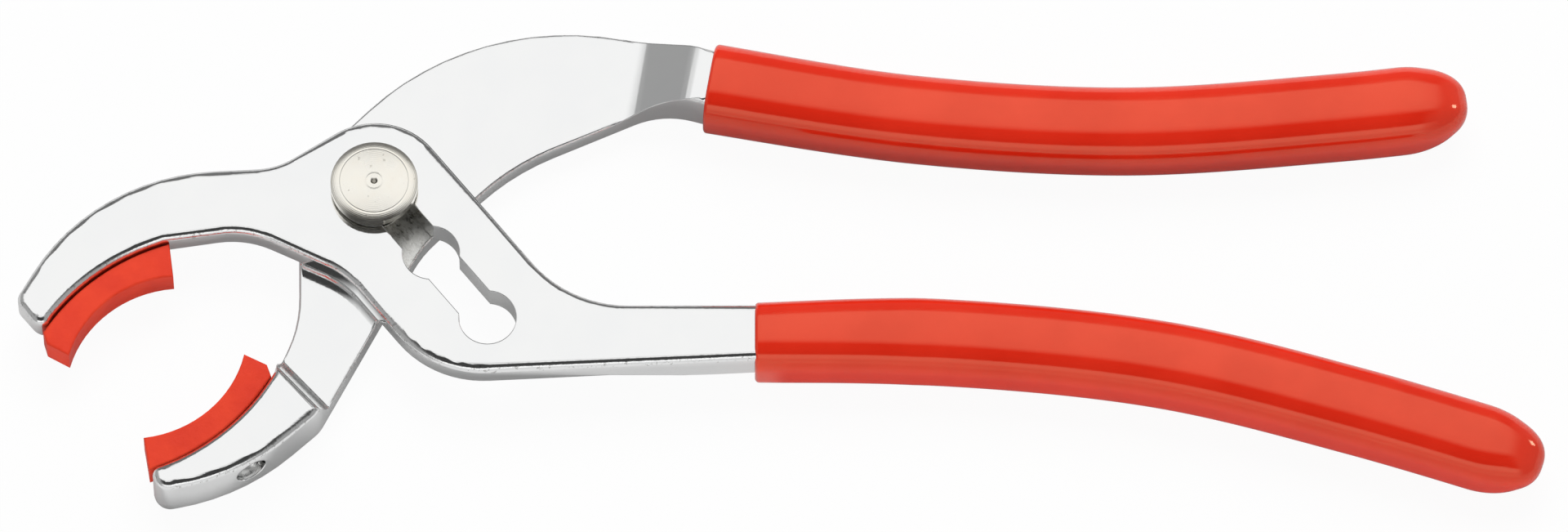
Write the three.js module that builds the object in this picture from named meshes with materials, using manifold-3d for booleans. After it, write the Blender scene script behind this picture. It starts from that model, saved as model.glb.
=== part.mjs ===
// Connector pliers: two slip-jointed steel halves, padded jaws and dipped grips.
// Millimetres, +Z up. The tool lies flat with its jaws towards -X; the pivot axis is the Z axis.
import * as THREE from 'three';
import { mergeVertices } from 'three/addons/utils/BufferGeometryUtils.js';
import Module from 'manifold-3d';

const wasm = await Module();
wasm.setup();

// Clearance between neighbouring pieces
const GAP = 0.25;

// Layers, upwards from the surface that the tool lies on
const GRIP_SKIN = 1.0;
const REAR_PLATE = 3.9;
const FRONT_PLATE = 5.2;
const FRONT_TANG = 7.0;
const EDGE = 1.3;
const REAR_EDGE = 0.5;
const REAR_BACK = GRIP_SKIN;
const REAR_FACE = REAR_BACK + REAR_PLATE;
const FRONT_BACK = REAR_FACE + GAP;
const FRONT_FACE = FRONT_BACK + FRONT_PLATE;
const GRIP_TOP = FRONT_FACE + GRIP_SKIN;

// Slip joint: round seats in a row, joined by narrower necks that only the bolt's flats can pass
const SEAT_COUNT = 3;
const SEAT_PITCH = 14.9;
const SEAT_RADIUS = 4.7;
const NECK_WIDTH = 6.4;
const SLOT_ANGLE = THREE.MathUtils.degToRad(-51.1);
const SLOT_LENGTH = (SEAT_COUNT - 1) * SEAT_PITCH;
const PIVOT_BOSS = 12.1;
const BOSS_LEFT = THREE.MathUtils.degToRad(123);
const SLOT_MARGIN = 13.2;

// Corners of the plate round the slot: along the slot from its first or last seat, and fillet
const PLATE_THROAT = { along: 8.6, fillet: 16 };
const PLATE_FOOT = { along: 2.2, fillet: 18 };
const PLATE_HANDLE = { along: 6.5, fillet: 20 };

// Other corners of the steel: x, y and fillet
const FRONT_ARCH = [-21.1, -7.3, 15];
const FRONT_NECK = [-16.2, 3.95, 12];
const REAR_CROTCH = [7.8, -8.2, 20];
const REAR_BELLY = [22.6, 6.4, 40];
const REAR_HEEL = [47.2, 17.4, 14];
const REAR_CREST = [18, 36.2, 46];
const REAR_SHOULDER = [-12.6, 5, 12];
const REAR_THROAT = [-12.2, -22, 25];

// Bolt, washer and nut
const HEAD_RADIUS = 7.15;
const HEAD_HEIGHT = 2.1;
const HEAD_CHAMFER = 1.3;
const HEAD_CHAMFER_DROP = 0.6;
const CENTRE_MARK = 0.6;
const WASHER_RADIUS = 6.7;
const WASHER_THICK = 0.4;
const THREAD_RADIUS = 2.9;
const NUT_FLATS = 10.0;
const NUT_HEIGHT = 2.7;

// Jaw pads: a concave bore, a flatter back and a flat end on each side
const BORE_RADIUS = 19.0;
const PAD_THICK = 4.6;
const PAD_WIDTH = 5.6;
const PAD_DROP = 1.4;
const PAD_CHORD = 22.0;
const PAD_FULL_FLARE = 3.2;
const PAD_CUT_FLARE = 1.5;
const PAD_CUT = 1.7;
const PAD_EDGE = 0.4;
const PAD_SEAT_RADIUS = 36.0;
const PAD_SEAT = BORE_RADIUS + PAD_THICK;
const PAD_MID = FRONT_FACE - PAD_DROP - PAD_WIDTH / 2;

// Each jaw: the middle of its bore, and the direction from there to the middle of its pad
const UPPER_JAW = { bore: [-31.3, -34.1], angle: THREE.MathUtils.degToRad(130) };
const LOWER_JAW = { bore: [-39.65, -25.05], angle: THREE.MathUtils.degToRad(-47.5) };
const JAW_WALL = 8.2;
const JAW_STEP = 13.0;
const JAW_STEP_RUN = 2.5;
const JAW_STEP_FILLET = 1.5;
const JAW_BOSS_DEPTH = 3.4;
const JAW_BOSS_HALF = 7.5;

// Ends of the pads' seats, and corners of the jaws: out past the seat, sideways and fillet
const UPPER_SEAT = [8.6, -13.5];
const UPPER_BACK = [13.9, -12.1, 36];
const UPPER_TIP_OUTER = [4.9, 11.9, 2.6];
const UPPER_TIP_INNER = [-2.2, 11.9, 1.6];
const LOWER_SEAT = [12.4, -12.2];
const LOWER_ROOT = [-3.3, 14.0, 1.6];
const LOWER_TIP_INNER = [-3.1, -14.0, 1.6];
const LOWER_TIP_OUTER = [0.9, -15.9, 2.6];
const LOWER_WALL_TIP = { side: -4.2, fillet: 38 };
const LOWER_WALL_ROOT = { side: 12.8, fillet: 6 };

// Screw that holds a pad from the outside of its jaw
const SCREW_HEAD_RADIUS = 2.4;
const SCREW_HEAD_HEIGHT = 2.2;
const SCREW_SHANK_RADIUS = 1.25;
const SCREW_WEB = 2.8;
const SCREW_BITE = 2.4;
const SCREW_SIDE = -1.2;

// Handles: the line that each grip follows from its mouth, and the tang inside it
const UPPER_REACH = 179.6;
const LOWER_REACH = 191.0;
const UPPER_HANDLE = [[54.9, 20.3], [88, 14.7], [123.3, 12.5], [157.5, 14.9], [UPPER_REACH, 17.6]];
const LOWER_HANDLE = [[62.4, -25.5], [93.3, -25.5], [128.7, -29.4], [160.8, -37.8], [LOWER_REACH, -47.6]];
const TANG_WIDTH = 9.8;
const TANG_TIP_WIDTH = 6.4;
const TANG_SHORTFALL = 14;
const RAMP_RUN = 11.0;
const RAMP_SETBACK = 1.6;
const RAMP_FILLET = 12.0;
const RAMP_LEAD = 20.0;
const FRONT_RAMP_RUN = 14.0;
const GRIP_WIDTH = 13.5;
const GRIP_CORNER = 3.7;
const LOWER_MOUTH_WIDTH = 12.2;
const UPPER_MOUTH_WIDTH = 14.2;
const MOUTH_TAPER = 26;
const MOUTH_LIP = 0.7;
const GRIP_DOME = 11.0;
const DOME_SWEEP = THREE.MathUtils.degToRad(86);
const DOME_FULLNESS = 0.77;

// Sampling of round forms
const ARC_STEP = THREE.MathUtils.degToRad(5);
const ROUND_SIDES = 48;
const SCREW_SIDES = 24;
const CORNER_STEPS = 6;
const FILLET_SHARE = 0.98;

// How far cuts run past what they cut, and a length beyond the whole tool
const OVERCUT = 1;
const FAR = 300;

function material(color, roughness, metalness) {
  return new THREE.MeshStandardMaterial({ color, roughness, metalness });
}

const chrome = () => material(0xe6e8e8, 0.12, 1);
const nickel = () => material(0xe4ddcf, 0.22, 1);
const steel = () => material(0xb9bcc0, 0.3, 1);
const redPlastic = () => material(0xd63a2a, 0.4, 0);
const redVinyl = () => material(0xd2281f, 0.25, 0);

// Closed solids: geometry in, geometry out
function solid(geometry) {
  const bare = geometry.clone();
  bare.deleteAttribute('normal');
  bare.deleteAttribute('uv');
  const merged = mergeVertices(bare, 1e-4);
  const vertProperties = new Float32Array(merged.attributes.position.array);
  const triVerts = new Uint32Array(merged.index.array);
  return new wasm.Manifold(new wasm.Mesh({ numProp: 3, vertProperties, triVerts }));
}

function surface(body) {
  const { vertProperties, triVerts, numProp } = body.getMesh();
  const positions = new Float32Array((vertProperties.length / numProp) * 3);
  for (let i = 0; i < positions.length / 3; i += 1) {
    positions.set(vertProperties.slice(i * numProp, i * numProp + 3), i * 3);
  }
  const geometry = new THREE.BufferGeometry();
  geometry.setAttribute('position', new THREE.BufferAttribute(positions, 3));
  geometry.setIndex(new THREE.BufferAttribute(new Uint32Array(triVerts), 1));
  geometry.computeVertexNormals();
  return geometry;
}

function mesh(name, geometry, finish) {
  const node = new THREE.Mesh(geometry, finish);
  node.name = name;
  return node;
}

// Outline from corners [x, y, fillet]; a fillet takes at most its share of the two sides that it joins
function outline(corners) {
  const count = corners.length;
  const points = corners.map(([x, y]) => new THREE.Vector2(x, y));
  const around = (i) => [(i + count - 1) % count, (i + 1) % count];
  const toward = (i, j) => points[j].clone().sub(points[i]).normalize();
  const halves = points.map((_, i) => {
    const [before, after] = around(i);
    const cosine = toward(i, before).dot(toward(i, after));
    return Math.acos(THREE.MathUtils.clamp(cosine, -1, 1)) / 2;
  });
  const wanted = corners.map(([, , fillet = 0], i) => fillet / Math.tan(halves[i]));
  return corners.flatMap((_, i) => {
    if (wanted[i] === 0) {
      return [points[i]];
    }
    const [before, after] = around(i);
    const share = (j) => (FILLET_SHARE * points[i].distanceTo(points[j])) / (wanted[i] + wanted[j]);
    const reach = wanted[i] * Math.min(1, share(before), share(after));
    const back = toward(i, before);
    const ahead = toward(i, after);
    const centre = back.clone().add(ahead).setLength(reach / Math.cos(halves[i])).add(points[i]);
    const first = points[i].clone().addScaledVector(back, reach).sub(centre);
    const last = points[i].clone().addScaledVector(ahead, reach).sub(centre);
    const sweep = Math.atan2(first.cross(last), first.dot(last));
    const steps = Math.ceil(Math.abs(sweep) / ARC_STEP);
    const middle = new THREE.Vector2();
    return Array.from({ length: steps + 1 }, (_unused, k) => first.clone()
      .rotateAround(middle, (sweep * k) / steps)
      .add(centre));
  });
}

// Slab between two heights with its edges rounded
function slab(points, bottom, top, edge) {
  const geometry = new THREE.ExtrudeGeometry(new THREE.Shape(points), {
    depth: top - bottom - 2 * edge,
    bevelEnabled: edge > 0,
    bevelSize: edge,
    bevelThickness: edge,
    bevelOffset: -edge,
    bevelSegments: 3,
  });
  return geometry.translate(0, 0, bottom + edge);
}

// Prism whose profile [along, z, fillet] stands on a line through origin and reaches far to both sides
function prism(profile, origin, direction) {
  const shape = new THREE.Shape(outline(profile));
  const geometry = new THREE.ExtrudeGeometry(shape, { depth: 2 * FAR, bevelEnabled: false });
  geometry.translate(0, 0, -FAR);
  const along = new THREE.Vector3(Math.cos(direction), Math.sin(direction), 0);
  const up = new THREE.Vector3(0, 0, 1);
  const place = new THREE.Matrix4().makeBasis(along, up, along.clone().cross(up));
  place.setPosition(origin[0], origin[1], 0);
  return geometry.applyMatrix4(place);
}

// Round body about the Z axis from a profile [radius, z] that starts and ends on the axis
function turned(profile, sides = ROUND_SIDES) {
  const points = profile.map(([radius, z]) => new THREE.Vector2(radius, z));
  return new THREE.LatheGeometry(points, sides).rotateX(Math.PI / 2);
}

const rod = (radius, bottom, top) => turned([[0, bottom], [radius, bottom], [radius, top], [0, top]]);

// Places in the slot's own frame, along it from the pivot and across it to the right
function slotPlace(along, across) {
  const c = Math.cos(SLOT_ANGLE);
  const s = Math.sin(SLOT_ANGLE);
  return [along * c - across * s, along * s + across * c];
}

// Places in a jaw's own frame: out from the bore, and sideways along the pad
function jawPlace(jaw, out, side) {
  const c = Math.cos(jaw.angle);
  const s = Math.sin(jaw.angle);
  return [jaw.bore[0] + out * c - side * s, jaw.bore[1] + out * s + side * c];
}

const seatDepth = (side, radius) => PAD_SEAT - radius + Math.sqrt(radius ** 2 - side ** 2);

function seatArc(jaw, from, to) {
  const steps = 10;
  return Array.from({ length: steps + 1 }, (_, i) => {
    const side = from + ((to - from) * i) / steps;
    return jawPlace(jaw, seatDepth(side, PAD_SEAT_RADIUS), side);
  });
}

// A place on a handle's line: distance past the mouth, and how far to the left of it
function handlePlace(line, distance, left) {
  const length = line.getLength();
  const inside = THREE.MathUtils.clamp(distance, 0, length);
  const tangent = line.getTangentAt(inside / length);
  const point = line.getPointAt(inside / length).addScaledVector(tangent, distance - inside);
  return [point.x - tangent.y * left, point.y + tangent.x * left];
}

const handleLine = (points) => new THREE.SplineCurve(points.map(([x, y]) => new THREE.Vector2(x, y)));
const upperLine = handleLine(UPPER_HANDLE);
const lowerLine = handleLine(LOWER_HANDLE);
const tangLength = (line) => line.getLength() - TANG_SHORTFALL;

function tangHalf(line, distance) {
  const share = THREE.MathUtils.clamp(distance / tangLength(line), 0, 1);
  return THREE.MathUtils.lerp(TANG_WIDTH, TANG_TIP_WIDTH, share) / 2;
}

// The tang's outline, out along its right side and back along its left
function tangOutline(line) {
  const steps = 12;
  const length = tangLength(line);
  const distances = Array.from({ length: steps + 1 }, (_, i) => (length * i) / steps);
  const right = distances.map((d) => handlePlace(line, d, -tangHalf(line, d)));
  const left = distances.map((d) => handlePlace(line, d, tangHalf(line, d)));
  return [...right, ...left.reverse()];
}

// A corner whose arc follows a circle about a centre, between two directions
function cornerAbout([x, y], radius, from, to) {
  const reach = radius / Math.cos((to - from) / 2);
  const middle = (from + to) / 2;
  return [x + reach * Math.cos(middle), y + reach * Math.sin(middle), radius];
}

const jawCorner = (jaw, [past, side, fillet]) => [...jawPlace(jaw, PAD_SEAT + past, side), fillet];

const frontOutline = outline([
  ...seatArc(UPPER_JAW, ...UPPER_SEAT),
  FRONT_ARCH,
  [...slotPlace(PLATE_THROAT.along, -SLOT_MARGIN), PLATE_THROAT.fillet],
  [...slotPlace(SLOT_LENGTH + PLATE_FOOT.along, -SLOT_MARGIN), PLATE_FOOT.fillet],
  ...tangOutline(lowerLine),
  [...slotPlace(SLOT_LENGTH + PLATE_HANDLE.along, PIVOT_BOSS), PLATE_HANDLE.fillet],
  cornerAbout([0, 0], PIVOT_BOSS, SLOT_ANGLE + Math.PI / 2, BOSS_LEFT),
  FRONT_NECK,
  jawCorner(UPPER_JAW, UPPER_BACK),
  jawCorner(UPPER_JAW, UPPER_TIP_OUTER),
  jawCorner(UPPER_JAW, UPPER_TIP_INNER),
]);

const rearOutline = outline([
  jawCorner(LOWER_JAW, LOWER_TIP_INNER),
  jawCorner(LOWER_JAW, LOWER_TIP_OUTER),
  jawCorner(LOWER_JAW, [JAW_WALL, LOWER_WALL_TIP.side, LOWER_WALL_TIP.fillet]),
  jawCorner(LOWER_JAW, [JAW_WALL, LOWER_WALL_ROOT.side, LOWER_WALL_ROOT.fillet]),
  REAR_CROTCH,
  REAR_BELLY,
  REAR_HEEL,
  ...tangOutline(upperLine),
  REAR_CREST,
  REAR_SHOULDER,
  REAR_THROAT,
  jawCorner(LOWER_JAW, LOWER_ROOT),
  ...seatArc(LOWER_JAW, ...LOWER_SEAT),
]);

// Prism across a handle, with its profile measured along the handle from the grip's mouth
function acrossHandle(line, profile) {
  const tangent = line.getTangentAt(0);
  return prism(profile, line.getPointAt(0).toArray(), Math.atan2(tangent.y, tangent.x));
}

// Hole for a pad screw: wide from the outside down to the head's seat, narrow to the pad
function screwHole(jaw) {
  const headSeat = PAD_SEAT + SCREW_WEB;
  const wide = SCREW_HEAD_RADIUS + GAP;
  const narrow = SCREW_SHANK_RADIUS + GAP;
  const profile = [[0, BORE_RADIUS], [narrow, BORE_RADIUS], [narrow, headSeat], [wide, headSeat],
    [wide, FAR], [0, FAR]];
  return alongJaw(turned(profile, SCREW_SIDES), jaw);
}

// Turns a body about the Z axis so that it points out of a jaw, at the pad's middle height
function alongJaw(geometry, jaw) {
  const out = new THREE.Vector3(Math.cos(jaw.angle), Math.sin(jaw.angle), 0);
  const up = new THREE.Vector3(0, 0, 1);
  const place = new THREE.Matrix4().makeBasis(up.clone().cross(out).negate(), up.negate(), out);
  place.setPosition(...jawPlace(jaw, 0, SCREW_SIDE), PAD_MID);
  return geometry.clone().applyMatrix4(place);
}

function doubleD(radius, flats, bottom, top) {
  const bar = new THREE.BoxGeometry(4 * radius, flats, top - bottom);
  bar.rotateZ(SLOT_ANGLE).translate(0, 0, (bottom + top) / 2);
  return solid(rod(radius, bottom, top)).intersect(solid(bar));
}

function slotCut() {
  const bottom = FRONT_BACK - OVERCUT;
  const top = FRONT_FACE + OVERCUT;
  const neck = new THREE.BoxGeometry(SLOT_LENGTH, NECK_WIDTH, top - bottom);
  const middle = slotPlace(SLOT_LENGTH / 2, 0);
  let cut = solid(neck.rotateZ(SLOT_ANGLE).translate(...middle, (bottom + top) / 2));
  for (let i = 0; i < SEAT_COUNT; i += 1) {
    const place = slotPlace(i * SEAT_PITCH, 0);
    cut = cut.add(solid(rod(SEAT_RADIUS, bottom, top).translate(...place, 0)));
  }
  return cut;
}

function frontHalf() {
  const inPlate = (FRONT_BACK + FRONT_FACE) / 2;
  const tangBack = FRONT_FACE - FRONT_TANG;
  const plate = solid(slab(frontOutline, FRONT_BACK, FRONT_FACE, EDGE));
  const thickened = solid(slab(frontOutline, tangBack, FRONT_FACE, EDGE));
  const rampFoot = -RAMP_SETBACK - FRONT_RAMP_RUN;
  const tangProfile = [
    [-RAMP_SETBACK, tangBack, RAMP_FILLET],
    [FAR, tangBack],
    [FAR, inPlate],
    [rampFoot - RAMP_LEAD, inPlate],
    [rampFoot, FRONT_BACK, RAMP_FILLET],
  ];
  const tang = thickened.intersect(solid(acrossHandle(lowerLine, tangProfile)));
  const bossBack = FRONT_BACK - JAW_BOSS_DEPTH;
  const bossSide = (z) => JAW_BOSS_HALF + (z - bossBack);
  const bossProfile = [[-bossSide(bossBack), bossBack], [bossSide(bossBack), bossBack],
    [bossSide(inPlate), inPlate], [-bossSide(inPlate), inPlate]];
  const boss = solid(slab(frontOutline, bossBack, FRONT_FACE, EDGE)).intersect(
    solid(prism(bossProfile, UPPER_JAW.bore, UPPER_JAW.angle + Math.PI / 2)),
  );
  return plate.add(tang).add(boss).subtract(slotCut()).subtract(solid(screwHole(UPPER_JAW)));
}

function rearHalf() {
  const inPlate = (REAR_BACK + REAR_FACE) / 2;
  const plate = solid(slab(rearOutline, REAR_BACK, REAR_FACE, REAR_EDGE));
  const full = solid(slab(rearOutline, REAR_BACK, FRONT_FACE, EDGE));
  const stepFoot = JAW_STEP + JAW_STEP_RUN;
  const jawProfile = [
    [-FAR, inPlate],
    [stepFoot + RAMP_LEAD, inPlate],
    [stepFoot, REAR_FACE, JAW_STEP_FILLET],
    [JAW_STEP, FRONT_FACE, JAW_STEP_FILLET],
    [-FAR, FRONT_FACE],
  ];
  const jaw = solid(prism(jawProfile, LOWER_JAW.bore, LOWER_JAW.angle + Math.PI / 2));
  const rampFoot = -RAMP_SETBACK - RAMP_RUN;
  const handleProfile = [
    [rampFoot - RAMP_LEAD, inPlate],
    [FAR, inPlate],
    [FAR, FRONT_FACE],
    [-RAMP_SETBACK, FRONT_FACE, RAMP_FILLET],
    [rampFoot, REAR_FACE, RAMP_FILLET],
  ];
  const handle = solid(acrossHandle(upperLine, handleProfile));
  const key = doubleD(SEAT_RADIUS, NECK_WIDTH, REAR_BACK - OVERCUT, REAR_FACE + OVERCUT);
  const nutRadius = NUT_FLATS / Math.sqrt(3) + GAP;
  const nutWell = solid(rod(nutRadius, REAR_BACK - OVERCUT, NUT_HEIGHT + GAP));
  return plate
    .add(full.intersect(jaw.add(handle)))
    .subtract(key)
    .subtract(nutWell)
    .subtract(solid(screwHole(LOWER_JAW)));
}

function pivotBolt() {
  const underside = FRONT_FACE + WASHER_THICK + 2 * GAP;
  const top = underside + HEAD_HEIGHT;
  const face = HEAD_RADIUS - HEAD_CHAMFER;
  const head = solid(turned([
    [0, underside],
    [HEAD_RADIUS, underside],
    [HEAD_RADIUS, top - HEAD_CHAMFER_DROP],
    [face, top],
    [CENTRE_MARK, top],
    [CENTRE_MARK / 2, top - CENTRE_MARK / 2],
    [0, top - CENTRE_MARK / 2],
  ]));
  const shoulder = NUT_HEIGHT + 2 * GAP;
  const neck = doubleD(SEAT_RADIUS - GAP, NECK_WIDTH - 2 * GAP, shoulder, underside + GAP);
  return head.add(neck).add(solid(rod(THREAD_RADIUS, 0, shoulder + GAP)));
}

function pivotWasher() {
  const bottom = FRONT_FACE + GAP;
  const top = bottom + WASHER_THICK;
  const profile = [[SEAT_RADIUS, bottom], [WASHER_RADIUS, bottom], [WASHER_RADIUS, top], [SEAT_RADIUS, top],
    [SEAT_RADIUS, bottom]];
  return turned(profile);
}

function pivotNut() {
  const corners = Array.from({ length: 6 }, (_, i) => {
    const angle = (i * Math.PI) / 3;
    const reach = NUT_FLATS / Math.sqrt(3);
    return new THREE.Vector2(reach * Math.cos(angle), reach * Math.sin(angle));
  });
  const shape = new THREE.Shape(corners);
  shape.holes.push(new THREE.Path().absarc(0, 0, THREAD_RADIUS + GAP, 0, 2 * Math.PI));
  return new THREE.ExtrudeGeometry(shape, { depth: NUT_HEIGHT, bevelEnabled: false, curveSegments: 24 });
}

// Pad in its jaw's frame (out, side): one end is full, the other has its outer corner cut off
function jawPad(jaw) {
  const half = PAD_CHORD / 2;
  const backAt = (side) => seatDepth(side, PAD_SEAT_RADIUS) - GAP;
  const steps = 16;
  const across = (from, to) => Array.from({ length: steps + 1 }, (_, i) => from + ((to - from) * i) / steps);
  const bore = across(-half, half).map((side) => [Math.sqrt(BORE_RADIUS ** 2 - side ** 2), side]);
  const cutSide = half + PAD_CUT_FLARE;
  const cut = [backAt(cutSide) - PAD_CUT, cutSide];
  const back = across(cutSide - PAD_CUT / 2, -half - PAD_FULL_FLARE).map((side) => [backAt(side), side]);
  const points = outline([...bore, cut, ...back]);
  const body = solid(slab(points, -PAD_WIDTH / 2, PAD_WIDTH / 2, PAD_EDGE)
    .rotateZ(jaw.angle)
    .translate(...jaw.bore, PAD_MID));
  const depth = PAD_SEAT - SCREW_BITE - GAP;
  const hole = alongJaw(rod(SCREW_SHANK_RADIUS + GAP, depth, PAD_SEAT + OVERCUT), jaw);
  return body.subtract(solid(hole));
}

function padScrew(jaw) {
  const headSeat = PAD_SEAT + SCREW_WEB + GAP;
  const headTop = headSeat + SCREW_HEAD_HEIGHT;
  const dome = SCREW_HEAD_RADIUS / 2;
  const profile = [
    [0, PAD_SEAT - SCREW_BITE],
    [SCREW_SHANK_RADIUS, PAD_SEAT - SCREW_BITE],
    [SCREW_SHANK_RADIUS, headSeat],
    [SCREW_HEAD_RADIUS, headSeat],
    [SCREW_HEAD_RADIUS, headTop - GAP],
    [dome, headTop],
    [0, headTop],
  ];
  return alongJaw(turned(profile, SCREW_SIDES), jaw);
}

// Closed skin through sections of equal point count
function loft(sections) {
  const count = sections[0].length;
  const positions = sections.flat().flatMap((p) => p.toArray());
  const index = [];
  for (let i = 0; i + 1 < sections.length; i += 1) {
    for (let k = 0; k < count; k += 1) {
      const a = i * count + k;
      const b = i * count + ((k + 1) % count);
      index.push(a, b, b + count, a, b + count, a + count);
    }
  }
  const last = (sections.length - 1) * count;
  for (let k = 1; k + 1 < count; k += 1) {
    index.push(0, k + 1, k);
    index.push(last, last + k, last + k + 1);
  }
  const geometry = new THREE.BufferGeometry();
  geometry.setAttribute('position', new THREE.Float32BufferAttribute(positions, 3));
  geometry.setIndex(index);
  return geometry;
}

// Rounded rectangle across a handle, centred on half the grip's height
function gripSection(line, distance, width, height) {
  const corner = Math.min(GRIP_CORNER, width * 0.48, height * 0.48);
  const w = width / 2 - corner;
  const h = height / 2 - corner;
  const section = [];
  [[w, h], [-w, h], [-w, -h], [w, -h]].forEach(([x, z], quarter) => {
    for (let k = 0; k <= CORNER_STEPS; k += 1) {
      const angle = (quarter + k / CORNER_STEPS) * (Math.PI / 2);
      const across = x + corner * Math.cos(angle);
      const up = GRIP_TOP / 2 + z + corner * Math.sin(angle);
      section.push(new THREE.Vector3(...handlePlace(line, distance, across), up));
    }
  });
  return section;
}

// Dipped grip: a soft bar along the handle, closed by a dome, with the tang's room cut out
function grip(line, mouthWidth, tangBack) {
  const length = line.getLength();
  const widthAt = (d) => THREE.MathUtils.lerp(mouthWidth, GRIP_WIDTH, Math.min(1, d / MOUTH_TAPER));
  const sections = [gripSection(line, 0, mouthWidth - MOUTH_LIP, GRIP_TOP - MOUTH_LIP)];
  const bodySteps = 18;
  for (let i = 0; i <= bodySteps; i += 1) {
    const d = MOUTH_LIP + ((length - GRIP_DOME - MOUTH_LIP) * i) / bodySteps;
    sections.push(gripSection(line, d, widthAt(d), GRIP_TOP));
  }
  const domeSteps = 6;
  for (let i = 1; i <= domeSteps; i += 1) {
    const angle = (i / domeSteps) * DOME_SWEEP;
    const narrow = Math.cos(angle) ** DOME_FULLNESS;
    const d = length - GRIP_DOME + GRIP_DOME * Math.sin(angle);
    sections.push(gripSection(line, d, GRIP_WIDTH * narrow, GRIP_TOP * Math.cos(angle)));
  }
  const reach = tangLength(line) + GAP;
  const roomSteps = 12;
  const low = tangBack - GAP;
  const high = FRONT_FACE + GAP;
  const bevelFor = (edge) => (edge + GAP) * (2 - Math.SQRT2);
  const topBevel = bevelFor(EDGE);
  const backBevel = bevelFor(REAR_EDGE);
  const room = Array.from({ length: roomSteps + 1 }, (_, i) => {
    const d = -OVERCUT + ((reach + OVERCUT) * i) / roomSteps;
    const half = tangHalf(line, d) + GAP;
    const corners = [[half, high - topBevel], [half - topBevel, high],
      [topBevel - half, high], [-half, high - topBevel],
      [-half, low + backBevel], [backBevel - half, low],
      [half - backBevel, low], [half, low + backBevel]];
    return corners.map(([across, z]) => new THREE.Vector3(...handlePlace(line, d, across), z));
  });
  return solid(loft(sections)).subtract(solid(loft(room)));
}

const pliers = new THREE.Group();
pliers.add(
  mesh('front_half', surface(frontHalf()), chrome()),
  mesh('rear_half', surface(rearHalf()), chrome()),
  mesh('pivot_bolt', surface(pivotBolt()), nickel()),
  mesh('pivot_washer', pivotWasher(), steel()),
  mesh('pivot_nut', pivotNut(), steel()),
  mesh('upper_jaw_pad', surface(jawPad(UPPER_JAW)), redPlastic()),
  mesh('lower_jaw_pad', surface(jawPad(LOWER_JAW)), redPlastic()),
  mesh('upper_pad_screw', padScrew(UPPER_JAW), steel()),
  mesh('lower_pad_screw', padScrew(LOWER_JAW), steel()),
  mesh('upper_grip', surface(grip(upperLine, UPPER_MOUTH_WIDTH, REAR_BACK)), redVinyl()),
  mesh('lower_grip', surface(grip(lowerLine, LOWER_MOUTH_WIDTH, FRONT_FACE - FRONT_TANG)), redVinyl()),
);

export default pliers;
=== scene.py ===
"""Looks of the connector pliers: camera, studio, finished surfaces and fine grips."""
import math

import bmesh
import bpy
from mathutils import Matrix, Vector


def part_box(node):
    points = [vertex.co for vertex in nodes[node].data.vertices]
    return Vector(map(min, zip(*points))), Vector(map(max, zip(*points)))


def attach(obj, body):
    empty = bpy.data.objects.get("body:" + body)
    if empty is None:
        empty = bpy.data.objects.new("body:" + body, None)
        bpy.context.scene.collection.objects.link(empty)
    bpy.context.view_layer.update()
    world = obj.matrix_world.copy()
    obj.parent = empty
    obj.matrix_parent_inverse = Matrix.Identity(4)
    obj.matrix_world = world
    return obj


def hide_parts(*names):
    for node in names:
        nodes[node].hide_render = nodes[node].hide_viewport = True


MM = 0.001
MICRON = 1e-6

# The photograph: its size and the pivot's place in pixels, and pixels per millimetre
PHOTO = (1920, 651)
PHOTO_SCALE = 7.48
PIVOT_PIXEL = (457.5, 229.8)
TILT = math.radians(24)
CAMERA_DISTANCE = 3.0
SENSOR = 36.0

# The grips, in millimetres: the solids' lines, with sections fuller on their upper edges
UPPER_HANDLE = ((54.9, 20.3), (88, 14.7), (123.3, 12.5), (157.5, 14.9), (179.6, 17.6))
LOWER_HANDLE = ((62.4, -25.5), (93.3, -25.5), (128.7, -29.4), (160.8, -37.8), (191.0, -47.6))
UPPER_MOUTH_WIDTH = 14.2
LOWER_MOUTH_WIDTH = 12.2
MOUTH_TAPER = 26
MOUTH_LIP = 0.7
UPPER_WIDTH = 13.9
LOWER_WIDTH = 13.5
UPPER_TOP_CORNER = 5.0
LOWER_TOP_CORNER = 4.6
GRIP_CORNER = 3.7
LARGEST_CORNER = 0.48
GRIP_DOME = 11.0
DOME_SWEEP = math.radians(88)
DOME_FULLNESS = 0.77

# The tang inside each grip, and the throat that hugs it
TANG_WIDTH = 9.8
TANG_EDGE = 1.3
UPPER_TANG_BACK = 1.0
LOWER_TANG_BACK = 3.35
THROAT_PLAY = 0.05
THROAT_DEPTH = 6.0
THROAT_START = 0.25

# Steps of the grips' mesh
LINE_STEPS = 100
CORNER_STEPS = 10
LIP_STEPS = 6
BODY_STEPS = 90
DOME_STEPS = 20

# Where the halves rub: the slot's line on the rear half's face, and how far the wear reaches from it
SLOT_ANGLE = math.radians(-51.1)
SLOT_LENGTH = 29.8
REAR_FACE = 4.9
WEAR_FULL = 5.5
WEAR_END = 8.5

# Fine relief of the metal, in millimetres; a groove is its radius and half its width
EDGE_BREAK = 0.3
TURNING_PITCH = 0.24
HEAD_GROOVES = ((5.75, 0.18), (1.45, 0.14))
SHARP_ANGLE = math.radians(38)

# The floor: white to the camera, and darker in reflections, which also see a glowing patch painted on
# it: a painted reflection for the walls beside it.
# The patch starts at a sloping edge in front of the pivot and ends at the grip. Lengths in
# millimetres.
FLOOR_SIZE = 12000
FLOOR_DEPTH = 0.2
FLOOR_SEEN = 0.95
FLOOR_PALE = 0.80
FLOOR_MIRRORED = 0.58
FLOOR_GLOW = 0.10
REFLECTION_PATCH_GLOW = 0.42
REFLECTION_PATCH_SLOPE = 0.316
REFLECTION_PATCH_EDGE = 43.0
REFLECTION_PATCH_END = 64.0
REFLECTION_PATCH_BLUR = 4.0

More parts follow.
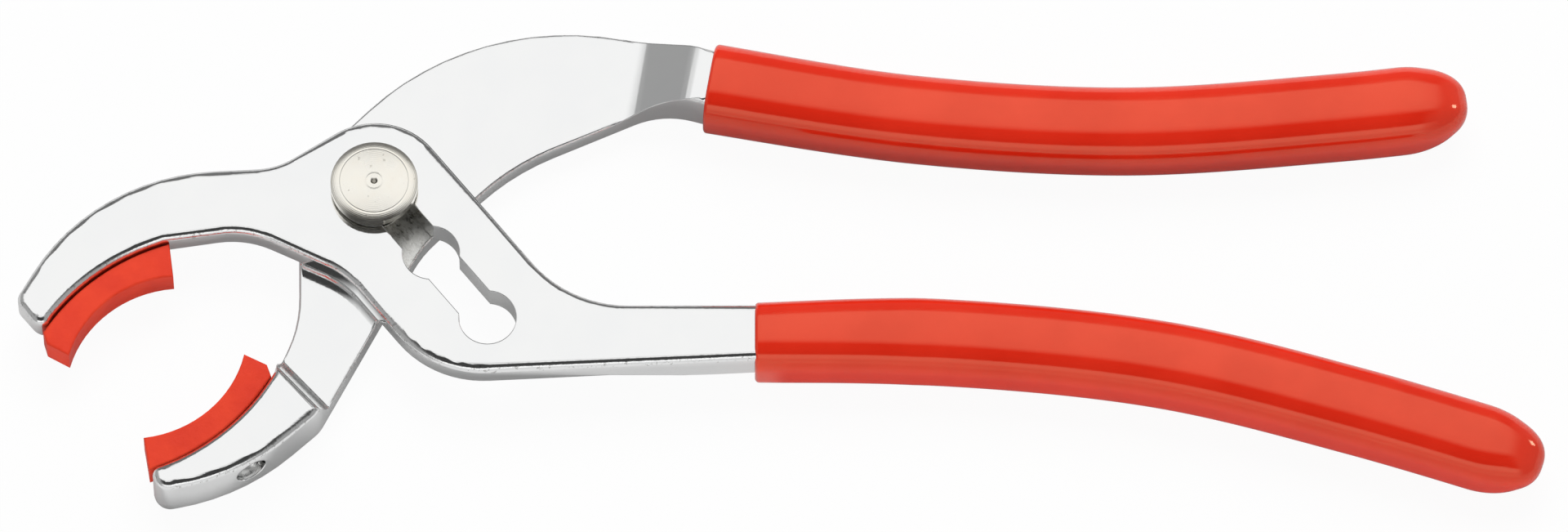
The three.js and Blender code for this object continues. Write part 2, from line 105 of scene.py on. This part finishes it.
# What polished surfaces see, from the front's horizon over the zenith to the back's: degrees and level
STUDIO_BANDS = (
    (-90, 0.75), (-74, 0.75), (-66, 1.15), (-54, 1.15), (-49, 0.05), (-6, 0.05),
    (10, 1.0), (40, 1.0), (48, 0.17), (90, 0.17),
)
SIDE_LEVEL = 0.36
SIDE_START = 0.45
SIDE_FULL = 0.72

# Light on matt surfaces, the same from all round; the softboxes add to it
ROUND_LIGHT = 0.32
LIT_POINT = (0.07, -0.01, 0)

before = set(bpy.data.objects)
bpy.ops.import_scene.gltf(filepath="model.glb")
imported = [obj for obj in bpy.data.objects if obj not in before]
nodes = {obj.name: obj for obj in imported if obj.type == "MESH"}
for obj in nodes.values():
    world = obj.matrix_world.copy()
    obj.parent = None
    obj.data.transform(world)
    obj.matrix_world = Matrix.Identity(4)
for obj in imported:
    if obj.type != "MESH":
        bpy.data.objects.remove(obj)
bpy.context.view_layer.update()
scene = bpy.context.scene
scene.view_settings.view_transform = "Standard"


class Shading:
    """A node tree with short calls for what the finishes and the studio share."""

    def __init__(self, tree):
        self.tree = tree

    def node(self, kind, **settings):
        made = self.tree.nodes.new(kind)
        for name, value in settings.items():
            setattr(made, name, value)
        return made

    def link(self, a, b):
        self.tree.links.new(a, b)

    def feed(self, target, value):
        if isinstance(value, (int, float, tuple)):
            target.default_value = value
        else:
            self.link(value, target)

    def math(self, operation, a, b=0.0, c=0.0):
        made = self.node("ShaderNodeMath", operation=operation)
        for target, value in zip(made.inputs, (a, b, c)):
            self.feed(target, value)
        return made.outputs[0]

    def vector_math(self, operation, a, b):
        made = self.node("ShaderNodeVectorMath", operation=operation)
        self.feed(made.inputs[0], a)
        self.feed(made.inputs[1], b)
        return made.outputs

    def split(self, vector):
        made = self.node("ShaderNodeSeparateXYZ")
        self.link(vector, made.inputs[0])
        return made.outputs

    def spread(self, value, low, high, start=0.3, end=0.7):
        """The value eased from low to high between start and end."""
        made = self.node("ShaderNodeMapRange", interpolation_type="SMOOTHSTEP")
        self.feed(made.inputs["Value"], value)
        made.inputs["From Min"].default_value = start
        made.inputs["From Max"].default_value = end
        made.inputs["To Min"].default_value = low
        made.inputs["To Max"].default_value = high
        return made.outputs["Result"]

    def blend(self, share, a, b):
        made = self.node("ShaderNodeMix", data_type="RGBA")
        factor, first, second = (s for s in made.inputs if s.enabled)
        self.feed(factor, share)
        self.feed(first, a)
        self.feed(second, b)
        return next(s for s in made.outputs if s.enabled)

    def mix(self, share, a, b, output):
        """Send a mix of two shaders to the tree's output."""
        made = self.node("ShaderNodeMixShader")
        for value, target in zip((share, a, b), made.inputs):
            self.link(value, target)
        self.link(made.outputs[0], self.tree.nodes[output].inputs["Surface"])


class Finish(Shading):
    """A material of the part or its stage, with one main shader."""

    def __init__(self, name, **values):
        self.material = bpy.data.materials.new(name)
        self.material.use_nodes = True
        super().__init__(self.material.node_tree)
        self.bsdf = self.tree.nodes["Principled BSDF"]
        self.where = self.node("ShaderNodeTexCoord").outputs["Object"]
        for key, value in values.items():
            self.bsdf.inputs[key.replace("_", " ")].default_value = value

    def surface(self, color, roughness):
        self.link(color, self.bsdf.inputs["Base Color"])
        self.link(roughness, self.bsdf.inputs["Roughness"])

    def turn(self, angle):
        made = self.node("ShaderNodeVectorRotate", rotation_type="Z_AXIS")
        self.link(self.where, made.inputs["Vector"])
        made.inputs["Angle"].default_value = angle
        return made.outputs[0]

    def noise(self, scale, detail=3.0, roughness=0.55, vector=None):
        made = self.node("ShaderNodeTexNoise")
        self.link(vector or self.where, made.inputs["Vector"])
        made.inputs["Scale"].default_value = scale
        made.inputs["Detail"].default_value = detail
        made.inputs["Roughness"].default_value = roughness
        return made.outputs["Fac"]

    def stretched_noise(self, scales, detail, roughness, vector):
        return self.noise(1, detail, roughness, self.vector_math("MULTIPLY", vector, scales)[0])

    def bump(self, height, microns):
        """Relief on top of what the normal already carries."""
        made = self.node("ShaderNodeBump")
        made.inputs["Distance"].default_value = microns * MICRON
        made.inputs["Strength"].default_value = 1.0
        self.link(height, made.inputs["Height"])
        previous = self.bsdf.inputs["Normal"].links
        if previous:
            self.link(previous[0].from_socket, made.inputs["Normal"])
        self.link(made.outputs["Normal"], self.bsdf.inputs["Normal"])

    def round_edges(self, radius):
        """The normal that the surface would have with its edges broken by a small radius."""
        made = self.node("ShaderNodeBevel", samples=8)
        made.inputs["Radius"].default_value = radius
        self.link(made.outputs["Normal"], self.bsdf.inputs["Normal"])

    def edges(self):
        """Share of edge on a forging.

        It is 1 where a face rounds over into its wall, and 0 on both and on the ramps.
        """
        _, back, up = self.split(self.node("ShaderNodeTexCoord").outputs["Normal"])
        level = self.math("ABSOLUTE", up)
        off_wall = self.spread(level, 0.0, 1.0, 0.05, 0.25)
        off_face = self.spread(level, 1.0, 0.0, 0.95, 0.99)
        off_ramp = self.spread(self.math("ABSOLUTE", back), 0.0, 1.0, 0.08, 0.2)
        return self.math("MULTIPLY", off_ramp, self.math("MULTIPLY", off_wall, off_face))

    def radius(self):
        """Distance from the pivot's axis."""
        flat = self.vector_math("MULTIPLY", self.where, (1.0, 1.0, 0.0))[0]
        return self.vector_math("LENGTH", flat, (0.0, 0.0, 0.0))["Value"]


def chrome(name, worn=False):
    """Bright plating with faint haze, fine scratches and nicked edges; worn where the halves rub."""
    finish = Finish(name, Metallic=1.0)
    haze = finish.noise(90, 4)
    tint = finish.blend(finish.spread(haze, 0, 1), (0.885, 0.89, 0.89, 1), (0.905, 0.908, 0.903, 1))
    scratches = finish.stretched_noise((300, 5200, 2600), 2, 0.6, finish.where)
    fine = finish.spread(scratches, 0.0, 0.05, 0.55, 0.75)
    rough = finish.math("ADD", finish.spread(haze, 0.06, 0.10), fine)
    finish.round_edges(EDGE_BREAK * MM)
    finish.bump(finish.noise(55, 2), 50)
    finish.bump(finish.noise(1100, 3), 4)
    edges = finish.edges()
    nicks = finish.noise(1300, 4, 0.65)
    finish.bump(finish.math("MULTIPLY", edges, nicks), 35)
    chips = finish.math("MULTIPLY", edges, finish.spread(nicks, 0.0, 0.55, 0.57, 0.65))
    bare = (0.30, 0.29, 0.27, 1)
    tint = finish.blend(chips, tint, bare)
    rough = finish.math("MULTIPLY_ADD", chips, 0.2, rough)
    finish.bump(scratches, 1.2)
    if worn:
        rubbed = rubbed_patch(finish)
        streaks = finish.stretched_noise((900, 1700, 900), 4, 0.7, finish.turn(-SLOT_ANGLE))
        streaked = finish.spread(streaks, 0, 1, 0.34, 0.56)
        grey = finish.blend(streaked, (0.58, 0.57, 0.54, 1), (0.94, 0.94, 0.91, 1))
        tint = finish.blend(rubbed, tint, grey)
        rough = finish.math("MULTIPLY_ADD", rubbed, finish.spread(streaks, 0.16, 0.34), rough)
        finish.bump(finish.math("MULTIPLY", rubbed, streaks), 60)
    finish.surface(tint, rough)
    return finish.material


def rubbed_patch(finish):
    """Share of wear: the rear half's face within reach of the sliding slot's edges."""
    along, across, height = finish.split(finish.turn(-SLOT_ANGLE))
    nearest = finish.math("MINIMUM", finish.math("MAXIMUM", along, 0.0), SLOT_LENGTH * MM)
    off_end = finish.math("SUBTRACT", along, nearest)
    squares = finish.math("MULTIPLY_ADD", off_end, off_end, finish.math("MULTIPLY", across, across))
    near = finish.spread(finish.math("SQRT", squares), 1.0, 0.0, WEAR_FULL * MM, WEAR_END * MM)
    lift = finish.math("ABSOLUTE", finish.math("SUBTRACT", height, REAR_FACE * MM))
    return finish.math("MULTIPLY", near, finish.spread(lift, 1.0, 0.0, 0.05 * MM, 0.3 * MM))


def nickel(name):
    """Warm plating on a turned head: a rim groove, a ring round the centre and fine turning marks."""
    finish = Finish(name, Metallic=1.0)
    wavering = finish.math("MULTIPLY_ADD", finish.noise(700, 2), 0.05 * MM, finish.radius())
    rings = finish.math("SINE", finish.math("MULTIPLY", wavering, 2 * math.pi / (TURNING_PITCH * MM)))
    haze = finish.noise(260, 4)
    spots = finish.spread(finish.noise(900, 3), 0.0, 1.0, 0.66, 0.72)
    tint = finish.blend(finish.spread(haze, 0, 1), (0.93, 0.89, 0.80, 1), (0.98, 0.955, 0.88, 1))
    spotted = (0.42, 0.38, 0.30, 1)
    tint = finish.blend(finish.math("MULTIPLY", spots, 0.4), tint, spotted)
    # The centre mark is darkened.
    centre = finish.spread(finish.radius(), 0.75, 0.0, 0.35 * MM, 0.62 * MM)
    centre_dark = (0.16, 0.14, 0.11, 1)
    tint = finish.blend(centre, tint, centre_dark)
    finish.surface(tint, finish.spread(haze, 0.20, 0.28))
    for middle, half in HEAD_GROOVES:
        off = finish.math("ABSOLUTE", finish.math("SUBTRACT", finish.radius(), middle * MM))
        finish.bump(finish.spread(off, 0.0, 1.0, 0.0, half * MM), 30)
    finish.bump(rings, 3)
    finish.bump(haze, 20)
    return finish.material


def steel(name):
    """Plain bright steel of the small fasteners."""
    finish = Finish(name, Metallic=1.0)
    haze = finish.noise(500, 3)
    tint = finish.blend(finish.spread(haze, 0, 1), (0.80, 0.80, 0.79, 1), (0.88, 0.88, 0.87, 1))
    finish.surface(tint, finish.spread(haze, 0.26, 0.36))
    finish.bump(finish.noise(1500, 2), 1.5)
    return finish.material


def red_plastic(name):
    """Moulded pads: satin, with a slight orange peel."""
    finish = Finish(name, Specular_IOR_Level=0.22)
    patches = finish.noise(160, 4)
    tint = finish.blend(finish.spread(patches, 0, 1), (0.71, 0.041, 0.016, 1), (0.80, 0.060, 0.025, 1))
    finish.surface(tint, finish.spread(patches, 0.38, 0.52))
    finish.bump(finish.noise(420, 3), 100)
    finish.bump(finish.noise(3200, 2), 10)
    return finish.material


def red_vinyl(name):
    """Glossy dipped vinyl: uneven depth of colour and a slow ripple left by the dip."""
    finish = Finish(name, Specular_IOR_Level=0.95, Specular_Tint=(1.0, 0.74, 0.42, 1),
                    Coat_Weight=0.22, Coat_Roughness=0.06)
    patches = finish.noise(70, 4)
    tint = finish.blend(finish.spread(patches, 0, 1), (0.69, 0.019, 0.006, 1), (0.75, 0.025, 0.009, 1))
    finish.surface(tint, finish.spread(patches, 0.09, 0.14))
    finish.bump(finish.noise(60, 2), 100)
    finish.bump(finish.noise(900, 3), 10)
    return finish.material


def dress(material, *names):
    for name in names:
        if not nodes[name].material_slots:
            nodes[name].data.materials.append(material)
        for slot in nodes[name].material_slots:
            slot.material = material


vinyl = red_vinyl("red_vinyl")
dress(chrome("chrome"), "front_half")
dress(chrome("rubbed_chrome", worn=True), "rear_half")
dress(nickel("nickel"), "pivot_bolt")
dress(steel("steel"), "pivot_washer", "pivot_nut", "upper_pad_screw", "lower_pad_screw")
dress(red_plastic("red_plastic"), "upper_jaw_pad", "lower_jaw_pad")
dress(vinyl, "upper_grip", "lower_grip")


def shading_group(angle):
    """Smooth faces, with the edges sharper than the angle kept as edges."""
    group = bpy.data.node_groups.new("smooth_faces", "GeometryNodeTree")
    group.interface.new_socket("Geometry", in_out="INPUT", socket_type="NodeSocketGeometry")
    group.interface.new_socket("Geometry", in_out="OUTPUT", socket_type="NodeSocketGeometry")
    made = group.nodes.new
    start, end = made("NodeGroupInput"), made("NodeGroupOutput")
    turn = made("GeometryNodeInputMeshEdgeAngle")
    below = made("FunctionNodeCompare")
    below.operation = "LESS_EQUAL"
    below.inputs["B"].default_value = angle
    faces, edges = made("GeometryNodeSetShadeSmooth"), made("GeometryNodeSetShadeSmooth")
    faces.domain, edges.domain = "FACE", "EDGE"
    link = group.links.new
    link(start.outputs[0], faces.inputs["Geometry"])
    link(faces.outputs[0], edges.inputs["Geometry"])
    link(turn.outputs["Unsigned Angle"], below.inputs["A"])
    link(below.outputs[0], edges.inputs["Shade Smooth"])
    link(edges.outputs[0], end.inputs[0])
    return group


smooth_faces = shading_group(SHARP_ANGLE)
for node in nodes.values():
    weld = node.modifiers.new("weld", "WELD")
    weld.merge_threshold = MICRON
    node.modifiers.new("smooth_faces", "NODES").node_group = smooth_faces
    normals = node.modifiers.new("normals", "WEIGHTED_NORMAL")
    normals.weight = 100
    normals.keep_sharp = True


class HandleLine:
    """The smooth line that a grip follows, by distance from its mouth in millimetres."""

    def __init__(self, points):
        ends = [points[0], *points, points[-1]]
        self.points = []
        for p in zip(ends, ends[1:], ends[2:], ends[3:]):
            p = [Vector(q) for q in p]
            for k in range(LINE_STEPS):
                self.points.append(self.between(p, k / LINE_STEPS))
        self.points.append(Vector(points[-1]))
        self.reached = [0.0]
        for a, b in zip(self.points, self.points[1:]):
            self.reached.append(self.reached[-1] + (b - a).length)
        self.length = self.reached[-1]

    @staticmethod
    def between(p, t):
        start = (p[2] - p[0]) / 2
        end = (p[3] - p[1]) / 2
        rise = p[2] - p[1]
        square = 3 * rise - 2 * start - end
        cube = start + end - 2 * rise
        return p[1] + start * t + square * t ** 2 + cube * t ** 3

    def place(self, distance, left):
        inside = min(max(distance, 0.0), self.length)
        i = next((k for k, r in enumerate(self.reached[1:]) if r >= inside), len(self.points) - 2)
        step = self.points[i + 1] - self.points[i]
        ahead = step.normalized()
        point = self.points[i] + ahead * (distance - self.reached[i])
        return point + Vector((-ahead.y, ahead.x)) * left


def rounded_section(line, distance, width, bottom, top, top_corner, corner):
    """Rounded rectangle across a handle, with its own radius on the upper edges."""
    most = LARGEST_CORNER * min(width, top - bottom)
    middle = (bottom + top) / 2
    ring = []
    for quarter, (side, end) in enumerate(((1, 1), (-1, 1), (-1, -1), (1, -1))):
        radius = min(most, top_corner if end > 0 else corner)
        x, z = side * (width / 2 - radius), end * ((top - bottom) / 2 - radius)
        for k in range(CORNER_STEPS + 1):
            angle = (quarter + k / CORNER_STEPS) * math.pi / 2
            spot = line.place(distance, x + radius * math.cos(angle))
            ring.append(Vector((spot.x, spot.y, middle + z + radius * math.sin(angle))) * MM)
    return ring


def skin(name, rings, material):
    """Closed mesh through rings of equal count."""
    bm = bmesh.new()
    made = [[bm.verts.new(p) for p in ring] for ring in rings]
    count = len(rings[0])
    for a, b in zip(made, made[1:]):
        for k in range(count):
            j = (k + 1) % count
            bm.faces.new((a[k], a[j], b[j], b[k]))
    bm.faces.new(made[0][::-1])
    bm.faces.new(made[-1])
    bmesh.ops.recalc_face_normals(bm, faces=bm.faces)
    for face in bm.faces:
        face.smooth = True
    data = bpy.data.meshes.new(name)
    bm.to_mesh(data)
    bm.free()
    data.materials.append(material)
    piece = bpy.data.objects.new(name, data)
    scene.collection.objects.link(piece)
    return piece


def dipped_grip(name, node, body, handle, mouth_width, full_width, top_corner, tang_back):
    """Grip with a rolled mouth that hugs the tang and a dome drawn to a soft point."""
    line = HandleLine(handle)
    low, top = (corner.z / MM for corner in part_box(node))
    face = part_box("front_half")[1].z / MM
    corners = (top_corner, GRIP_CORNER)

    def width(d):
        share = min(1.0, max(0.0, d) / MOUTH_TAPER)
        return mouth_width + (full_width - mouth_width) * share

    def throat(d):
        bottom, ceiling = tang_back - THROAT_PLAY, face + THROAT_PLAY
        wide = TANG_WIDTH + 2 * THROAT_PLAY
        return rounded_section(line, d, wide, bottom, ceiling, TANG_EDGE, TANG_EDGE)

    rings = [throat(THROAT_DEPTH), throat(THROAT_START)]
    for k in range(LIP_STEPS + 1):
        angle = k / LIP_STEPS * math.pi / 2
        back = MOUTH_LIP * (1 - math.sin(angle))
        d = MOUTH_LIP * (1 - math.cos(angle))
        smaller = (corner - back for corner in corners)
        rings.append(rounded_section(line, d, width(d) - 2 * back, low + back, top - back, *smaller))
    for k in range(1, BODY_STEPS + 1):
        d = MOUTH_LIP + (line.length - GRIP_DOME - MOUTH_LIP) * k / BODY_STEPS
        rings.append(rounded_section(line, d, width(d), low, top, *corners))
    middle = (top + low) / 2
    for k in range(1, DOME_STEPS + 1):
        angle = k / DOME_STEPS * DOME_SWEEP
        narrow = full_width * math.cos(angle) ** DOME_FULLNESS
        half = (top - low) / 2 * math.cos(angle)
        d = line.length - GRIP_DOME + GRIP_DOME * math.sin(angle)
        rings.append(rounded_section(line, d, narrow, middle - half, middle + half, *corners))
    piece = skin(name, rings, vinyl)
    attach(piece, body)
    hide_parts(node)


dipped_grip("upper_grip_vinyl", "upper_grip", "rear", UPPER_HANDLE,
            UPPER_MOUTH_WIDTH, UPPER_WIDTH, UPPER_TOP_CORNER, UPPER_TANG_BACK)
dipped_grip("lower_grip_vinyl", "lower_grip", "front", LOWER_HANDLE,
            LOWER_MOUTH_WIDTH, LOWER_WIDTH, LOWER_TOP_CORNER, LOWER_TANG_BACK)


def painted_reflection_patch(finish):
    """Share of a glowing patch painted on the floor in front of the lower jaw and the bare handle, up
    to the grip: a painted reflection in their walls.
    """
    right, back, _ = finish.split(finish.where)
    front = finish.math("SUBTRACT", finish.math("MULTIPLY", right, REFLECTION_PATCH_SLOPE), back)
    inside = finish.spread(front, 0.0, 1.0, REFLECTION_PATCH_EDGE * MM, (REFLECTION_PATCH_EDGE + REFLECTION_PATCH_BLUR) * MM)
    before_end = finish.spread(right, 1.0, 0.0, REFLECTION_PATCH_END * MM, (REFLECTION_PATCH_END + REFLECTION_PATCH_BLUR) * MM)
    return finish.math("MULTIPLY", inside, before_end)


def backdrop_material(name):
    """White where it is looked at, with the object's soft shadow kept, and darker in reflections."""
    finish = Finish(name, Roughness=0.9, Specular_IOR_Level=0.1)
    path = finish.node("ShaderNodeLightPath").outputs
    mirrored = finish.math("MAXIMUM", path["Is Glossy Ray"], path["Is Transmission Ray"])
    pale = finish.math("MULTIPLY_ADD", mirrored, FLOOR_MIRRORED - FLOOR_PALE, FLOOR_PALE)
    finish.link(pale, finish.bsdf.inputs["Base Color"])
    seen = finish.math("MULTIPLY", path["Is Camera Ray"], FLOOR_SEEN)
    # Painted reflection: a glowing patch on the floor, seen only in reflections, brightens the walls
    # of the lower jaw and the bare handle.
    glow_mirrored = finish.math("MULTIPLY_ADD", painted_reflection_patch(finish), REFLECTION_PATCH_GLOW, FLOOR_GLOW)
    share = finish.math("MULTIPLY_ADD", mirrored, glow_mirrored, seen)
    glow = finish.node("ShaderNodeEmission")
    glow.inputs["Strength"].default_value = 1.0
    finish.mix(share, finish.bsdf.outputs[0], glow.outputs[0], "Material Output")
    return finish.material


bpy.ops.mesh.primitive_plane_add(size=FLOOR_SIZE * MM, location=(0, 0, -FLOOR_DEPTH * MM))
floor = bpy.context.object
floor.name = "floor"
floor.data.materials.append(backdrop_material("pale_floor"))


def studio_world():
    """Even light all round; reflections see the studio's bands over the part and dim sides."""
    world = bpy.data.worlds.new("studio")
    scene.world = world
    world.use_nodes = True
    room = Shading(world.node_tree)
    right, back, up = room.split(room.node("ShaderNodeTexCoord").outputs["Generated"])
    lean = room.math("ARCTAN2", back, up)
    bands = room.node("ShaderNodeValToRGB")
    stops = bands.color_ramp.elements
    while len(stops) < len(STUDIO_BANDS):
        stops.new(0.5)
    for stop, (degrees, level) in zip(stops, STUDIO_BANDS):
        stop.position = (degrees + 90) / 180
        stop.color = (level, level, level, 1)
    room.link(room.math("MULTIPLY_ADD", lean, 1 / math.pi, 0.5), bands.inputs["Fac"])
    sides = room.spread(room.math("ABSOLUTE", right), 0.0, 1.0, SIDE_START, SIDE_FULL)
    seen = room.blend(sides, bands.outputs["Color"], (SIDE_LEVEL, SIDE_LEVEL, SIDE_LEVEL, 1))
    mirrored = room.node("ShaderNodeBackground")
    room.link(seen, mirrored.inputs["Color"])
    plain = room.tree.nodes["Background"]
    plain.inputs["Color"].default_value = (ROUND_LIGHT, ROUND_LIGHT, ROUND_LIGHT, 1)
    glossy = room.node("ShaderNodeLightPath").outputs["Is Glossy Ray"]
    room.mix(glossy, plain.outputs[0], mirrored.outputs[0], "World Output")


studio_world()


def softbox(name, place, size, radiance, mirrored=True):
    """Rectangular light aimed at the part; reflections show it only if mirrored. Lengths in metres."""
    light = bpy.data.lights.new(name, "AREA")
    light.shape = "RECTANGLE"
    light.size, light.size_y = size
    light.energy = radiance * math.pi * size[0] * size[1]
    lamp = bpy.data.objects.new(name, light)
    lamp.location = place
    lamp.rotation_mode = "QUATERNION"
    lamp.rotation_quaternion = (Vector(LIT_POINT) - Vector(place)).to_track_quat("-Z", "Y")
    lamp.visible_glossy = mirrored
    scene.collection.objects.link(lamp)


softbox("key", (1.15, 0.32, 0.40), (0.2, 0.2), 7.0)
softbox("ceiling", (0.07, 0.91, 1.18), (1.4, 1.0), 5.1, mirrored=False)
softbox("front_strip", (0.07, -1.36, 0.16), (2.0, 0.28), 6.2, mirrored=False)


def photo_camera():
    """The photograph's view, with the pivot at its pixel and the front face to scale."""
    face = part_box("front_half")[1].z
    right = (PHOTO[0] / 2 - PIVOT_PIXEL[0]) / PHOTO_SCALE * MM
    up = (PIVOT_PIXEL[1] - PHOTO[1] / 2) / (PHOTO_SCALE * math.cos(TILT)) * MM
    target = Vector((right, up, face))
    back = Vector((0, -math.sin(TILT), math.cos(TILT)))
    data = bpy.data.cameras.new("photo")
    data.sensor_width = SENSOR
    data.lens = PHOTO_SCALE / MM * CAMERA_DISTANCE * SENSOR / PHOTO[0]
    data.clip_start, data.clip_end = 0.05, 50
    camera = bpy.data.objects.new("photo", data)
    camera.location = target + back * CAMERA_DISTANCE
    camera.rotation_mode = "QUATERNION"
    camera.rotation_quaternion = (-back).to_track_quat("-Z", "Y")
    scene.collection.objects.link(camera)
    scene.camera = camera


photo_camera()
